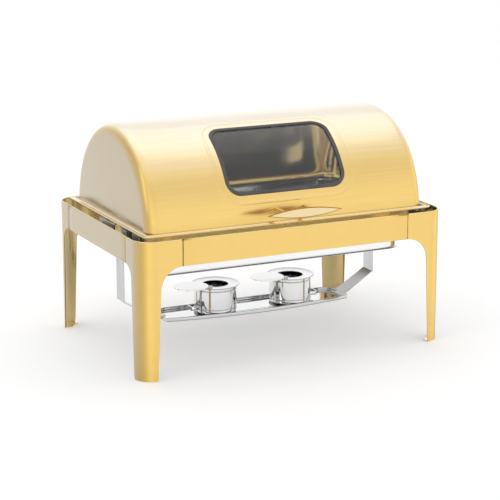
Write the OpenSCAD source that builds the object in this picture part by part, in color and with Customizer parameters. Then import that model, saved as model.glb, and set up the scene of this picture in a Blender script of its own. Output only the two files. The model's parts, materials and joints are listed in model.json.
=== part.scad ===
// Roll top chafer: a gold sheet-metal stand that carries a water pan, a food pan
// and a hanging fuel tray, under a half-barrel lid that rolls back about its ends.
// Millimetres. X runs along the length, -Y is the side with the handle, Z is up.
// The origin lies on the floor under the middle of the overall box.

/* [Stand] */
// Length of the stand
frame_l = 640; // [600:1:720]
// Width of the stand
frame_w = 434; // [414:1:480]
// Height of the top edge of the stand above the floor
frame_h = 262; // [250:1:300]
// Thickness of the stand's sheet
sheet_t = 1.5; // [1:0.1:2]
// Height of the rails
rail_h = 50; // [44:1:56]
// Plan radius of the stand's corners
corner_r = 38; // [30:1:44]
// Width of a leg at the floor
foot_w = 34; // [32:1:38]
// Width of a leg just under the arch
leg_top_w = 41.5; // [39:0.5:42]
// Radius of the arch from leg to long rail
arch_long_r = 44; // [30:1:44]
// Radius of the arch from leg to end rail
arch_end_r = 26; // [12:1:30]

/* [Lid] */
// Distance from the stand's end face to the lid's end panel
lid_gap_end = 30; // [25:1:40]
// Distance from the stand's front face to the barrel at the height of the roll axis
lid_gap_side = 33; // [28:1:40]
// Thickness of the lid's sheet
lid_t = 1.2; // [1:0.1:1.5]
// Radius of the edge between barrel and end panel
lid_edge_r = 24; // [16:1:30]
// Drop from the stand's top edge to the roll axis
axis_drop = 4; // [3:0.5:5]
// Rise of the lid's base above the roll axis
base_rise = 6; // [6:0.5:8]
// Width of the flange around the lid's base
flange_w = 12; // [10:1:13]
// Thickness of that flange
flange_t = 1.5; // [1:0.1:2]

/* [Window] */
// Length of the window opening
window_l = 250; // [200:1:270]
// Angle of the window's middle above the front of the barrel
window_mid = 44; // [42:1:46]
// Half of the angle that the opening spans
window_half = 24.3; // [16:0.1:26]
// Corner radius of the opening
window_r = 30; // [20:1:34]
// Width of the dark border around the glass
border_w = 7.5; // [6:0.5:9]
// Thickness of the glass
glass_t = 3; // [2:0.5:4]

/* [Handle] */
// Length of the handle plate
handle_l = 155; // [130:1:180]
// Height of the handle plate at its middle
handle_h = 19; // [15:1:24]
// Thickness of the handle plate
handle_t = 3; // [2:0.5:4]
// Distance from the barrel's furthest point to the handle's face
handle_out = 59; // [50:1:70]
// Distance between the two handle posts
post_gap = 60; // [40:1:90]
// Radius of a handle post
post_r = 4; // [3:0.5:5]

/* [Pans] */
// Gap between the end walls of the two pans
pan_gap_end = 11.3; // [8:0.1:16]
// Gap between the side walls of the two pans
pan_gap_side = 9.3; // [7:0.1:14]
// Depth of the food pan
food_d = 65; // [40:1:75]
// Thickness of both pans
pan_t = 1.2; // [0.8:0.1:1.5]
// Depth of the water pan
water_d = 86; // [80:1:90]

/* [Fuel tray] */
// Height of the tray above the floor
tray_z = 58; // [50:1:70]
// Length of the tray
tray_l = 400; // [380:1:420]
// Gap between a holder's cup and the outside of the tray
tray_margin = 6; // [5:1:12]
// Distance that the tray sits forward of the roll axis
tray_fwd = 24; // [22:1:34]
// Thickness of the tray and of its hanger straps
strap_t = 2; // [1.5:0.1:3]
// Width of a hanger strap
strap_w = 36; // [30:1:44]
// Height of the tray's upturned rim
tray_rim = 6; // [4:0.5:8]

/* [Fuel holders] */
// Distance from the middle to each fuel holder
burner_x = 82; // [70:1:100]
// Outer radius of a holder's cup
cup_r = 42; // [36:1:44]
// Height of a holder's cup
cup_h = 53; // [45:1:60]
// Radius of the flame opening
flame_r = 25.5; // [18:0.5:28]
// Radius of the swinging cover
cover_r = 34; // [30:1:36]
// Angle that the cover swings between open and closed
cover_swing = 94; // [80:1:120]

/* [Hidden] */
$fn = 96;

// Small overlap that lets a cut run clean through
cut = 1;
// Gap between pieces that move past or rest on each other
rest_gap = 0.3;
// Radial clearance of a turning fit
run_gap = 0.05;

gold = "gold";
steel = "gainsboro";
dark = "dimgray";

// Stand, whose seams stand just past the arches
wall_x = frame_l / 2 - sheet_t;
rail_z = frame_h - rail_h;
arch_land = 0.5;
seam_long = leg_top_w + arch_long_r + arch_land;
seam_end = leg_top_w + arch_end_r + arch_land;

// Barrel
lid_end = frame_l / 2 - lid_gap_end;
lid_l = 2 * lid_end;
lid_r = frame_w / 2 - lid_gap_side;
lid_in_r = lid_r - lid_t;
axis_z = frame_h - axis_drop;
base_z = axis_z + base_rise;
flange_more = 1;
flange_r = flange_w + 2;
flange_in = sqrt(lid_in_r * lid_in_r - pow(base_rise + flange_t, 2));

// The stand's middle stands behind the origin, because the handle reaches out in front
handle_reach = lid_r + handle_out;
mid_y = (handle_reach - frame_w / 2) / 2;

// Window: a gasket in the opening, and the glass and its retainer inside the barrel
window_h = 2 * lid_r * sin(window_half);
rim_gap = 12;
rim_w = 5;
rim_rise = 1;
glass_lap = 9;
retainer_t = 1.2;
retainer_in_r = lid_in_r - glass_t - retainer_t;
gasket_rise = 0.6;
clip_w = 14;
clip_t = 1.2;
clip_reach = 9;
clip_land = 2;
clip_clear = 0.5;
clip_high = sqrt(lid_in_r * lid_in_r - clip_reach * clip_reach) - clip_t / 2;
clip_low = sqrt(retainer_in_r * retainer_in_r - clip_reach * clip_reach) - clip_t / 2;
clip_angle = asin((window_h / 2 + glass_lap) / retainer_in_r) + clip_clear;

// Handle, a plate bounded by two arcs
leaf_r = (pow(handle_l / 2, 2) + pow(handle_h / 2, 2)) / handle_h;
handle_angle = 11;
handle_z = axis_z + lid_r * sin(handle_angle);
post_drop = 3;
post_z = handle_z - post_drop;
post_neck = 1;
post_sink = 3;
post_tail = 14;
handle_nut_in = 5;
handle_nut_af = 10;

// Splices behind the seams
splice_l = 36;
splice_h = 34;
splice_t = 2;
stud_r = 2;
stud_l = 7;
nut_af = 7;
nut_h = 3.2;
stud_out = 10;
stud_up = 10;
splice_z = rail_z + rail_h / 2;

// Inturned feet
foot_t = 2;
foot_in = 16;

// Pivot at each end
pin_r = 3;
pin_edge = 1.5;
bush_r = 4.5;
hub_t = 3;
hub_r = 12;
hub_w = 44;
hub_h = 34;
hub_rivet_y = 15;
hub_low = 4;
hub_rivet_z = base_z + 8;
hub_rivet_gap = 16;
ear_t = 3;
ear_gap = 3;
ear_x = lid_end + flange_w + ear_gap;
head_h = 4;
head_af = 10;
tail_l = 2;

// Pan carrier, whose end plate stands just inside the lid's hub
carrier_t = 2;
carrier_h = 25;
carrier_r = 36;
hub_gap = 2.5;
lid_side_gap = 16.8;
carrier_end = lid_end - lid_t - hub_t - hub_gap;
carrier_side = lid_in_r - lid_side_gap;
carrier_top = axis_z + pin_r + pin_edge;

// Water pan, whose rim rests on the carrier's long sides
water_gap_end = 21;
water_gap_side = 8.2;
water_lap_end = 12;
water_lap_side = 7.7;
water_l = 2 * (carrier_end - water_gap_end);
water_w = 2 * (carrier_side - water_gap_side);
water_rim_z = carrier_top + rest_gap;
water_edge_r = 22;
pan_r = 30;

// Food pan, whose rim rests on the water pan
food_l = water_l - 2 * pan_gap_end;
food_w = water_w - 2 * pan_gap_side;
food_rim_z = water_rim_z + pan_t + rest_gap;
food_lap = 14;
food_edge_r = 18;

// Bracket between end rail, roll axis and carrier
bracket_t = 2;
bracket_l = 82;
bracket_gap = 5;
bracket_front = seam_end + splice_l / 2 + bracket_gap - frame_w / 2;
bracket_back = bracket_front + bracket_l;
bracket_low = rail_z + 10;
bracket_high = frame_h - 10;
arm_z = frame_h - 34;
arm_t = 3;
ear_lap = 20;
bracket_stud_in = 12;
bracket_stud_y = [bracket_front + bracket_stud_in, bracket_back - bracket_stud_in];
bracket_stud_z = (arm_z + arm_t + bracket_high) / 2;
bumper_r = 5;
bumper_y = bracket_front + 16;

// Hanger strap, screwed to the carrier and riveted under the tray, whose front edge bows out
tray_w = 2 * (cup_r + tray_margin);
tray_bow_r = 1000;
hanger_y = -3;
strap_in = 9;
strap_x = carrier_end - carrier_t - strap_in;
bend_rise = 41;
bend_out = 5;
bend_x = tray_l / 2 + bend_out;
strap_foot = 30;
hanger_screw_z = carrier_top - carrier_h + 7;
hanger_screw_y = strap_w / 3;
tray_rivet_x = bend_x - 18;
tray_rivet_y = strap_w / 4;
strap_path = [
    [carrier_end - carrier_t - strap_t / 2, hanger_screw_z + 7],
    [carrier_end - carrier_t - strap_t / 2, hanger_screw_z - 8],
    [strap_x, hanger_screw_z - 16],
    [strap_x, tray_z + bend_rise],
    [bend_x, tray_z - strap_t / 2],
    [bend_x - strap_foot, tray_z - strap_t / 2]];
screw_r = 2.5;
screw_head_r = 4.5;
screw_head_h = 2;
hanger_head_x = carrier_end - carrier_t - strap_t - screw_head_h;
rivet_r = 2;
rivet_head_r = 4;
rivet_head_h = 1;

// Fuel holders stand on the tray's floor
holder_back = 2;
holder_y = holder_back - tray_fwd;
holder_z = tray_z + strap_t + rest_gap;
cup_t = 1;
cup_edge_r = 7;
top_t = 1;
top_land = 1;
lip_r = cup_r + 6;
lip_h = 3;
cover_t = 1.2;
cover_z = holder_z + cup_h + lip_h + rest_gap;
cover_tab = 12;
pivot_reach = cup_r - 4;
pivot_angle = 231;
pivot_head_h = 1.5;
lug_l = 16;
lug_w = 18;
lug_t = 2;
lug_lap = 2;
lug_z = holder_z + 8;
lug_h = 8;

function arc(cx, cy, r, a0, a1, n = 16) =
    [for (i = [0 : n]) let (a = a0 + (a1 - a0) * i / n) [cx + r * cos(a), cy + r * sin(a)]];

// A strip of even thickness along a bent line
function turn(p, i) =
    let (a = i > 0 ? p[i] - p[i - 1] : p[1] - p[0],
         b = i < len(p) - 1 ? p[i + 1] - p[i] : a,
         u = a / norm(a), v = b / norm(b), m = u + v)
    [-m[1], m[0]] / (1 + u * v);
function strip(p, t) = concat(
    [for (i = [0 : len(p) - 1]) p[i] + turn(p, i) * t / 2],
    [for (i = [len(p) - 1 : -1 : 0]) p[i] - turn(p, i) * t / 2]);

module placed() translate([0, mid_y, 0]) children();
module along_x() rotate([90, 0, 90]) children();
module along_y() rotate([90, 0, 0]) children();
// A shape made at the right-hand end, or its mirror image at the left-hand end
module at_end(side) mirror([side < 0 ? 1 : 0, 0, 0]) children();
module at_corner(sx, sy) mirror([sx < 0 ? 1 : 0, 0, 0]) mirror([0, sy < 0 ? 1 : 0, 0]) children();

module rounded(l, w, r) {
    square([l - 2 * r, w], center = true);
    square([l, w - 2 * r], center = true);
    for (x = [-1, 1], y = [-1, 1]) translate([x * (l / 2 - r), y * (w / 2 - r)]) circle(r);
}

module hex(af, h) cylinder(r = af / sqrt(3), h = h, $fn = 6);

// ---------- Stand ----------

// What is cut away beside a leg, seen square to one rail: s runs from the corner inward
module arch(seam, r) polygon(concat(
    [[foot_w, -cut], [leg_top_w, rail_z - r]],
    arc(leg_top_w + r, rail_z - r, r, 180, 90),
    [[seam + r, rail_z], [seam + r, -cut]]));

module leg(sx, sy) color(gold) placed() at_corner(sx, sy) difference() {
    linear_extrude(frame_h) intersection() {
        difference() {
            rounded(frame_l, frame_w, corner_r);
            rounded(frame_l - 2 * sheet_t, frame_w - 2 * sheet_t, corner_r - sheet_t);
        }
        translate([frame_l / 2 - seam_long, frame_w / 2 - seam_end])
            square([seam_long + cut, seam_end + cut]);
    }
    // Cut the arch in the long side, on the part of the leg that turns along X
    translate([frame_l / 2, frame_w / 2 + cut, 0]) mirror([1, 0, 0]) along_y()
        linear_extrude(seam_end - corner_r + cut) arch(seam_long, arch_long_r);
    translate([frame_l / 2 + cut, frame_w / 2, 0]) rotate([0, 0, 180]) along_x()
        linear_extrude(seam_long - corner_r + cut) arch(seam_end, arch_end_r);
}

module rail_long(sy) color(gold) placed() at_corner(1, sy)
    translate([-frame_l / 2 + seam_long, frame_w / 2 - sheet_t, rail_z])
        cube([frame_l - 2 * seam_long, sheet_t, rail_h]);

module rail_end(sx) color(gold) placed() at_corner(sx, 1)
    translate([wall_x, -frame_w / 2 + seam_end, rail_z])
        cube([sheet_t, frame_w - 2 * seam_end, rail_h]);

// Inturned plate at the bottom of a leg
module foot(sx, sy) color(gold) placed() at_corner(sx, sy) linear_extrude(foot_t) intersection() {
    difference() {
        rounded(frame_l - 2 * sheet_t, frame_w - 2 * sheet_t, corner_r - sheet_t);
        rounded(frame_l - 2 * foot_in, frame_w - 2 * foot_in, corner_r - foot_in);
    }
    translate([frame_l / 2 - foot_w, frame_w / 2 - foot_w]) square(foot_w);
}

// Places on the inner face of the stand: each child is drawn with Z pointing inward
module on_long(sy, x, z) translate([x, sy * (frame_w / 2 - sheet_t), z]) rotate([sy * 90, 0, 0]) children();
module on_end(sx, y, z) translate([sx * wall_x, y, z]) rotate([0, -sx * 90, 0]) children();
module on_seams_long(sy) for (sx = [-1, 1]) on_long(sy, sx * (frame_l / 2 - seam_long), splice_z) children();
module on_seams_end(sx) for (sy = [-1, 1]) on_end(sx, sy * (frame_w / 2 - seam_end), splice_z) children();
module on_studs() for (a = [-1, 1], b = [-1, 1]) translate([a * stud_out, b * stud_up, 0]) children();
module on_all_studs() {
    for (side = [-1, 1]) {
        on_seams_long(side) on_studs() children();
        on_seams_end(side) on_studs() children();
    }
}

module splice(l, h) linear_extrude(splice_t) difference() {
    square([l, h], center = true);
    on_studs() circle(stud_r);
}
module splices_long(sy) color(gold) placed() on_seams_long(sy) splice(splice_l, splice_h);
module splices_end(sx) color(gold) placed() on_seams_end(sx) splice(splice_h, splice_l);
module splice_studs() color(gold) placed() on_all_studs() cylinder(r = stud_r, h = stud_l);
module nut(r, af, h) difference() {
    hex(af, h);
    translate([0, 0, -cut]) cylinder(r = r, h = h + 2 * cut);
}
module splice_nuts() color(steel) placed() on_all_studs()
    translate([0, 0, splice_t]) nut(stud_r, nut_af, nut_h);

// ---------- Pivot brackets and pan carrier ----------

module bracket(side) color(steel) placed() at_end(side) difference() {
    union() {
        // Wall plate
        translate([wall_x - bracket_t, bracket_front, bracket_low])
            cube([bracket_t, bracket_back - bracket_front, bracket_high - bracket_low]);
        // Shelf from the wall to the carrier
        translate([carrier_end, bracket_front, arm_z])
            cube([wall_x - bracket_t / 2 - carrier_end, bracket_back - bracket_front, arm_t]);
        // Upturned end of the shelf, screwed to the carrier
        translate([carrier_end, bracket_front, arm_z])
            cube([carrier_t, bracket_back - bracket_front, bracket_high - arm_z]);
        // Ear that holds the pivot bolt
        translate([ear_x, bracket_back - ear_lap, arm_z])
            cube([ear_t, ear_lap - bracket_back + hub_r, axis_z + pin_r + 2 * pin_edge - arm_z]);
    }
    for (y = bracket_stud_y) translate([carrier_end - cut, y, bracket_stud_z])
        along_x() cylinder(r = stud_r, h = wall_x - carrier_end + 2 * cut);
    translate([ear_x - cut, 0, axis_z]) along_x() cylinder(r = pin_r, h = ear_t + 2 * cut);
}

module bracket_studs() color(gold) placed() for (side = [-1, 1], y = bracket_stud_y)
    on_end(side, y, bracket_stud_z) cylinder(r = stud_r, h = stud_l);
module bracket_nuts() color(steel) placed() for (side = [-1, 1], y = bracket_stud_y)
    on_end(side, y, bracket_stud_z) translate([0, 0, bracket_t]) nut(stud_r, nut_af, nut_h);

// Shoulder bolt from the ear, through the lid's bush, to the carrier
module pivot_bolt(side) color(steel) placed() at_end(side) {
    tail = carrier_end - carrier_t - nut_h - tail_l;
    translate([tail, 0, axis_z]) along_x() cylinder(r = pin_r, h = ear_x + ear_t - tail + head_h / 2);
    translate([ear_x + ear_t, 0, axis_z]) along_x() hex(head_af, head_h);
}
module pivot_nuts() color(steel) placed() for (side = [-1, 1]) at_end(side)
    translate([carrier_end - carrier_t - nut_h, 0, axis_z]) along_x() nut(pin_r, head_af, nut_h);

module lid_bumpers() color(dark) placed() for (side = [-1, 1]) at_end(side)
    translate([lid_end + flange_w / 2, bumper_y, arm_z + arm_t])
        cylinder(r = bumper_r, h = base_z - arm_z - arm_t - rest_gap);

module pan_carrier() color(steel) placed() difference() {
    translate([0, 0, carrier_top - carrier_h]) linear_extrude(carrier_h) difference() {
        rounded(2 * carrier_end, 2 * carrier_side, carrier_r);
        rounded(2 * (carrier_end - carrier_t), 2 * (carrier_side - carrier_t), carrier_r - carrier_t);
    }
    for (side = [-1, 1]) at_end(side) {
        translate([carrier_end - carrier_t - cut, 0, axis_z]) along_x()
            cylinder(r = pin_r, h = carrier_t + 2 * cut);
        for (y = bracket_stud_y) translate([carrier_end - carrier_t - cut, y, bracket_stud_z]) along_x()
            cylinder(r = stud_r, h = carrier_t + 2 * cut);
        for (y = [-1, 1])
            translate([carrier_end - carrier_t - cut, hanger_y + y * hanger_screw_y, hanger_screw_z])
                along_x() cylinder(r = screw_r, h = carrier_t + 2 * cut);
    }
}

// Screws that join the bracket's upturned end to the carrier
module carrier_screws() color(steel) placed() for (side = [-1, 1], y = bracket_stud_y) at_end(side)
    translate([carrier_end - carrier_t, y, bracket_stud_z]) along_x() {
        cylinder(r = stud_r, h = 2 * carrier_t);
        translate([0, 0, 2 * carrier_t]) cylinder(r = screw_head_r, h = screw_head_h);
    }

// ---------- Hangers and fuel tray ----------

module hanger(side) color(steel) placed() at_end(side) difference() {
    translate([0, hanger_y + strap_w / 2, 0]) along_y() linear_extrude(strap_w)
        polygon(strip(strap_path, strap_t));
    for (y = [-1, 1]) {
        translate([carrier_end - carrier_t - strap_t - cut, hanger_y + y * hanger_screw_y, hanger_screw_z])
            along_x() cylinder(r = screw_r, h = strap_t + 2 * cut);
        translate([tray_rivet_x, hanger_y + y * tray_rivet_y, tray_z - strap_t - cut])
            cylinder(r = rivet_r, h = strap_t + 2 * cut);
    }
}

module hanger_screws() color(steel) placed() for (side = [-1, 1], y = [-1, 1]) at_end(side)
    translate([hanger_head_x, hanger_y + y * hanger_screw_y, hanger_screw_z]) along_x() {
            cylinder(r = screw_head_r, h = screw_head_h);
            cylinder(r = screw_r, h = screw_head_h + strap_t + carrier_t);
        }

module tray_outline(inset = 0) translate([0, -tray_fwd]) intersection() {
    rounded(tray_l - 2 * inset, tray_w - 2 * inset, tray_w / 3 - inset);
    translate([0, tray_bow_r - tray_w / 2]) circle(tray_bow_r - inset, $fn = 360);
}

module fuel_tray() color(steel) placed() difference() {
    translate([0, 0, tray_z]) linear_extrude(strap_t + tray_rim) tray_outline();
    translate([0, 0, tray_z + strap_t]) linear_extrude(tray_rim + cut) tray_outline(strap_t);
    for (x = [-1, 1], y = [-1, 1]) translate([x * tray_rivet_x, hanger_y + y * tray_rivet_y, tray_z - cut])
        cylinder(r = rivet_r, h = strap_t + 2 * cut);
}

module tray_rivets() color(steel) placed() for (x = [-1, 1], y = [-1, 1])
    translate([x * tray_rivet_x, hanger_y + y * tray_rivet_y, tray_z - strap_t - rivet_head_h]) {
        cylinder(r = rivet_r, h = 2 * strap_t + rivet_head_h);
        cylinder(r = rivet_head_r, h = rivet_head_h);
        translate([0, 0, 2 * strap_t + rivet_head_h]) cylinder(r = rivet_head_r, h = rivet_head_h);
    }

// ---------- Pans ----------

// A round-cornered tub between z0 and z1, closed and rounded below
module tub(l, w, z0, z1, r, edge) {
    tub_bar(w - 2 * r, l / 2, z0, z1, edge);
    rotate([0, 0, 90]) tub_bar(l - 2 * r, w / 2, z0, z1, edge);
    for (x = [-1, 1], y = [-1, 1]) translate([x * (l / 2 - r), y * (w / 2 - r), 0])
        rotate_extrude() polygon(concat(
            [[0, z0]], arc(r - edge, z0 + edge, edge, -90, 0), [[r, z1], [0, z1]]));
}
module tub_bar(l, half, z0, z1, edge) rotate([90, 0, 0]) linear_extrude(l, center = true) polygon(concat(
    arc(half - edge, z0 + edge, edge, -90, 0), [[half, z1], [-half, z1]],
    arc(edge - half, z0 + edge, edge, 180, 270)));

// A pan whose walls stand l by w apart, under a rim that laps out over its support
module pan(l, w, lap_end, lap_side, rim_z, depth, edge) {
    low = rim_z + pan_t - depth;
    difference() {
        union() {
            tub(l, w, low, rim_z + pan_t, pan_r, edge);
            translate([0, 0, rim_z]) linear_extrude(pan_t)
                rounded(l + 2 * lap_end, w + 2 * lap_side, pan_r + lap_side);
        }
        tub(l - 2 * pan_t, w - 2 * pan_t, low + pan_t, rim_z + pan_t + cut, pan_r - pan_t, edge - pan_t);
    }
}

module water_pan() color(steel) placed()
    pan(water_l, water_w, water_lap_end, water_lap_side, water_rim_z, water_d, water_edge_r);
module food_pan() color(steel) placed()
    pan(food_l, food_w, food_lap, food_lap, food_rim_z, food_d, food_edge_r);

// ---------- Lid ----------

// Half outline of the barrel's section through its axis, shrunk by an inset
function barrel(inset) = let (r = lid_r - inset, e = lid_end - inset, c = lid_edge_r - inset) concat(
    [[0, -e]], arc(r - c, -e + c, c, -90, 0), arc(r - c, e - c, c, 0, 90), [[0, e]]);
module barrel_solid(inset) rotate([0, 90, 0]) rotate_extrude() polygon(barrel(inset));

// Rounded block that runs out through the barrel at the window's middle
module window_block(grow) {
    l = window_l / 2 - window_r;
    h = window_h / 2 - window_r;
    r = window_r + grow;
    translate([0, 0, axis_z]) rotate([90 - window_mid, 0, 0]) translate([0, 0, lid_in_r / 2])
        linear_extrude(lid_r) polygon(concat(
            arc(l, h, r, 0, 90), arc(-l, h, r, 90, 180), arc(-l, -h, r, 180, 270), arc(l, -h, r, 270, 360)));
}

// Ring of the barrel between two radii
module barrel_band(r_in, r_out, l) translate([-l / 2, 0, axis_z]) along_x() difference() {
    cylinder(r = r_out, h = l, $fn = 180);
    translate([0, 0, -cut]) cylinder(r = r_in, h = l + 2 * cut, $fn = 180);
}

module on_hub_rivets(x) for (y = [-1, 1], z = [0, 1])
    translate([x, y * hub_rivet_y, hub_rivet_z + z * hub_rivet_gap]) along_x() children();

module lid_shell() color(gold) placed() difference() {
    union() {
        difference() {
            translate([0, 0, axis_z]) barrel_solid(0);
            translate([0, 0, axis_z]) barrel_solid(lid_t);
            translate([-lid_l, -frame_w, base_z - frame_h]) cube([2 * lid_l, 2 * frame_w, frame_h]);
        }
        // Flange around the base
        translate([0, 0, base_z]) linear_extrude(flange_t) difference() {
            rounded(lid_l + 2 * flange_w, 2 * (lid_r + flange_w + flange_more), flange_r);
            rounded(lid_l - 2 * lid_t, 2 * flange_in, lid_edge_r - lid_t);
        }
        // Raised rim around the window
        intersection() {
            barrel_band(lid_in_r + lid_t / 2, lid_r + rim_rise, window_l + 4 * rim_gap);
            difference() {
                window_block(rim_gap + rim_w);
                window_block(rim_gap);
            }
        }
    }
    window_block(0);
    for (x = [-1, 1]) translate([x * post_gap / 2, -handle_reach, post_z]) rotate([-90, 0, 0])
        cylinder(r = post_r - post_neck, h = handle_reach - lid_in_r / 2);
    for (side = [-1, 1]) at_end(side) on_hub_rivets(lid_end - lid_t - cut)
        cylinder(r = rivet_r, h = lid_t + 2 * cut);
}

// Rubber gasket in the opening, which shows as the dark border of the glass
module window_gasket() color(dark) placed() intersection() {
    barrel_band(lid_in_r, lid_r + gasket_rise, window_l + cut);
    difference() {
        window_block(0);
        window_block(-border_w);
    }
}
module window_glass() color("lightcyan", 0.4) placed() intersection() {
    barrel_band(lid_in_r - glass_t, lid_in_r, window_l + 4 * glass_lap);
    window_block(glass_lap);
}
module window_retainer() color(steel) placed() intersection() {
    barrel_band(retainer_in_r, retainer_in_r + retainer_t, window_l + 4 * glass_lap);
    difference() {
        window_block(glass_lap);
        window_block(-border_w);
    }
}
// Spring clips on the barrel, above and below the window, which hold the retainer on the glass
module retainer_clips() color(steel) placed() for (x = [-1, 1], s = [-1, 1])
    translate([x * window_l / 4 - clip_w / 2, 0, axis_z]) rotate([90 - window_mid + s * clip_angle, 0, 0])
        mirror([0, s > 0 ? 1 : 0, 0]) along_x() linear_extrude(clip_w) polygon(strip([
            [clip_reach, clip_high], [clip_land, clip_high],
            [0, clip_low], [-clip_reach, clip_low]], clip_t));

// Leaf-shaped handle plate on two posts
module lid_handle() color(gold) placed() translate([0, -handle_reach + handle_t, handle_z]) along_y()
    linear_extrude(handle_t) intersection_for(s = [-1, 1])
        translate([0, s * (leaf_r - handle_h / 2)]) circle(leaf_r, $fn = 360);
module handle_posts() color(gold) placed() for (x = [-1, 1]) {
    difference() {
        translate([x * post_gap / 2, -handle_reach + handle_t, post_z]) rotate([-90, 0, 0])
            cylinder(r = post_r, h = handle_reach - handle_t - lid_r + post_sink);
        translate([0, 0, axis_z]) along_x() cylinder(r = lid_r, h = 2 * post_gap, center = true, $fn = 360);
    }
    translate([x * post_gap / 2, -handle_reach + handle_t, post_z]) rotate([-90, 0, 0])
        cylinder(r = post_r - post_neck, h = handle_reach - handle_t - lid_in_r + post_tail);
}
module handle_nuts() color(steel) placed() for (x = [-1, 1])
    translate([x * post_gap / 2, handle_nut_in - lid_in_r, post_z]) rotate([-90, 0, 0])
        nut(post_r - post_neck, handle_nut_af, nut_h);

module lid_hub(side) color(steel) placed() at_end(side) difference() {
    translate([lid_end - lid_t - hub_t, 0, axis_z]) along_x() linear_extrude(hub_t) difference() {
        union() {
            circle(hub_r);
            translate([-hub_r, 0]) square([2 * hub_r, base_rise + hub_low]);
            translate([-hub_w / 2, base_rise]) square([hub_w, hub_h]);
        }
        circle(bush_r);
    }
    on_hub_rivets(lid_end - lid_t - hub_t - cut) cylinder(r = rivet_r, h = hub_t + 2 * cut);
}
module hub_rivets() color(steel) placed() for (side = [-1, 1]) at_end(side)
    on_hub_rivets(lid_end - lid_t - hub_t - rivet_head_h) {
        cylinder(r = rivet_r, h = hub_t + lid_t + rivet_head_h);
        cylinder(r = rivet_head_r, h = rivet_head_h);
    }
module pivot_bush(side) color("ivory") placed() at_end(side)
    translate([lid_end - lid_t - hub_t, 0, axis_z]) along_x() difference() {
        cylinder(r = bush_r, h = ear_x - rest_gap - lid_end + lid_t + hub_t);
        translate([0, 0, -cut]) cylinder(r = pin_r + run_gap, h = ear_x);
    }

// ---------- Fuel holders ----------

module at_holder(side) placed() translate([side * burner_x, holder_y, 0]) children();

module burner_cup(side) color(steel) at_holder(side) rotate_extrude() polygon(concat(
    [[0, holder_z]], arc(cup_r - cup_edge_r, holder_z + cup_edge_r, cup_edge_r, -90, 0, 8),
    [[cup_r, holder_z + cup_h], [cup_r - cup_t, holder_z + cup_h]],
    arc(cup_r - cup_edge_r, holder_z + cup_edge_r, cup_edge_r - cup_t, 0, -90, 8),
    [[0, holder_z + cup_t]]));

module cover_pivot() rotate([0, 0, pivot_angle]) translate([pivot_reach, 0, 0]) children();

module burner_top(side) color(steel) at_holder(side) difference() {
    translate([0, 0, holder_z + cup_h]) rotate_extrude() polygon([
        [flame_r, 0], [cup_r + top_land, 0], [lip_r, lip_h - top_t], [lip_r, lip_h],
        [cup_r + top_land / 2, top_t], [flame_r, top_t]]);
    cover_pivot() translate([0, 0, holder_z]) cylinder(r = rivet_r, h = 2 * cup_h);
}

// Carrying lug at the foot of a holder, on its outer side
module burner_lug(side) color(steel) at_holder(side) at_end(side) difference() {
    union() {
        translate([cup_r - lug_lap, -lug_w / 2, lug_z]) cube([lug_l, lug_w, lug_t]);
        translate([cup_r - lug_lap + lug_l - lug_t, -lug_w / 2, lug_z]) cube([lug_t, lug_w, lug_h]);
    }
    translate([0, 0, holder_z]) cylinder(r = cup_r, h = cup_h);
}

// Cover, drawn open: it swings closed about its rivet
module burner_cover(side) color(steel) at_holder(side) cover_pivot() rotate([0, 0, cover_swing])
    translate([0, 0, cover_z]) linear_extrude(cover_t) difference() {
        union() {
            translate([-pivot_reach, 0]) circle(cover_r);
            translate([-pivot_reach / 2, 0]) square([pivot_reach, cover_tab], center = true);
            circle(cover_tab / 2);
        }
        circle(rivet_r + run_gap);
    }
module cover_rivet(side) color(steel) at_holder(side) cover_pivot() {
    low = holder_z + cup_h;
    high = cover_z + cover_t + rest_gap;
    translate([0, 0, low - top_t]) cylinder(r = rivet_r, h = high - low + top_t);
    translate([0, 0, low + top_t]) cylinder(r = rivet_head_r, h = lip_h - top_t);
    translate([0, 0, high]) cylinder(r = rivet_head_r, h = pivot_head_h);
}

leg(-1, -1);  // leg_front_left
leg(1, -1);  // leg_front_right
leg(-1, 1);  // leg_rear_left
leg(1, 1);  // leg_rear_right
rail_long(-1);  // rail_front
rail_long(1);  // rail_rear
rail_end(-1);  // rail_left
rail_end(1);  // rail_right
foot(-1, -1);  // foot_front_left
foot(1, -1);  // foot_front_right
foot(-1, 1);  // foot_rear_left
foot(1, 1);  // foot_rear_right
splices_long(-1);  // splices_front
splices_long(1);  // splices_rear
splices_end(-1);  // splices_left
splices_end(1);  // splices_right
splice_studs();
splice_nuts();
bracket(-1);  // bracket_left
bracket(1);  // bracket_right
bracket_studs();
bracket_nuts();
pivot_bolt(-1);  // pivot_bolt_left
pivot_bolt(1);  // pivot_bolt_right
pivot_nuts();
lid_bumpers();
pan_carrier();
carrier_screws();
hanger(-1);  // hanger_left
hanger(1);  // hanger_right
hanger_screws();
fuel_tray();
tray_rivets();
water_pan();
food_pan();
lid_shell();
window_gasket();
window_glass();
window_retainer();
retainer_clips();
lid_handle();
handle_posts();
handle_nuts();
lid_hub(-1);  // lid_hub_left
lid_hub(1);  // lid_hub_right
hub_rivets();
pivot_bush(-1);  // pivot_bush_left
pivot_bush(1);  // pivot_bush_right
burner_cup(-1);  // burner_cup_left
burner_cup(1);  // burner_cup_right
burner_top(-1);  // burner_top_left
burner_top(1);  // burner_top_right
burner_lug(-1);  // burner_lug_left
burner_lug(1);  // burner_lug_right
burner_cover(-1);  // burner_cover_left
burner_cover(1);  // burner_cover_right
cover_rivet(-1);  // cover_rivet_left
cover_rivet(1);  // cover_rivet_right
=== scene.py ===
import json
import math

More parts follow.
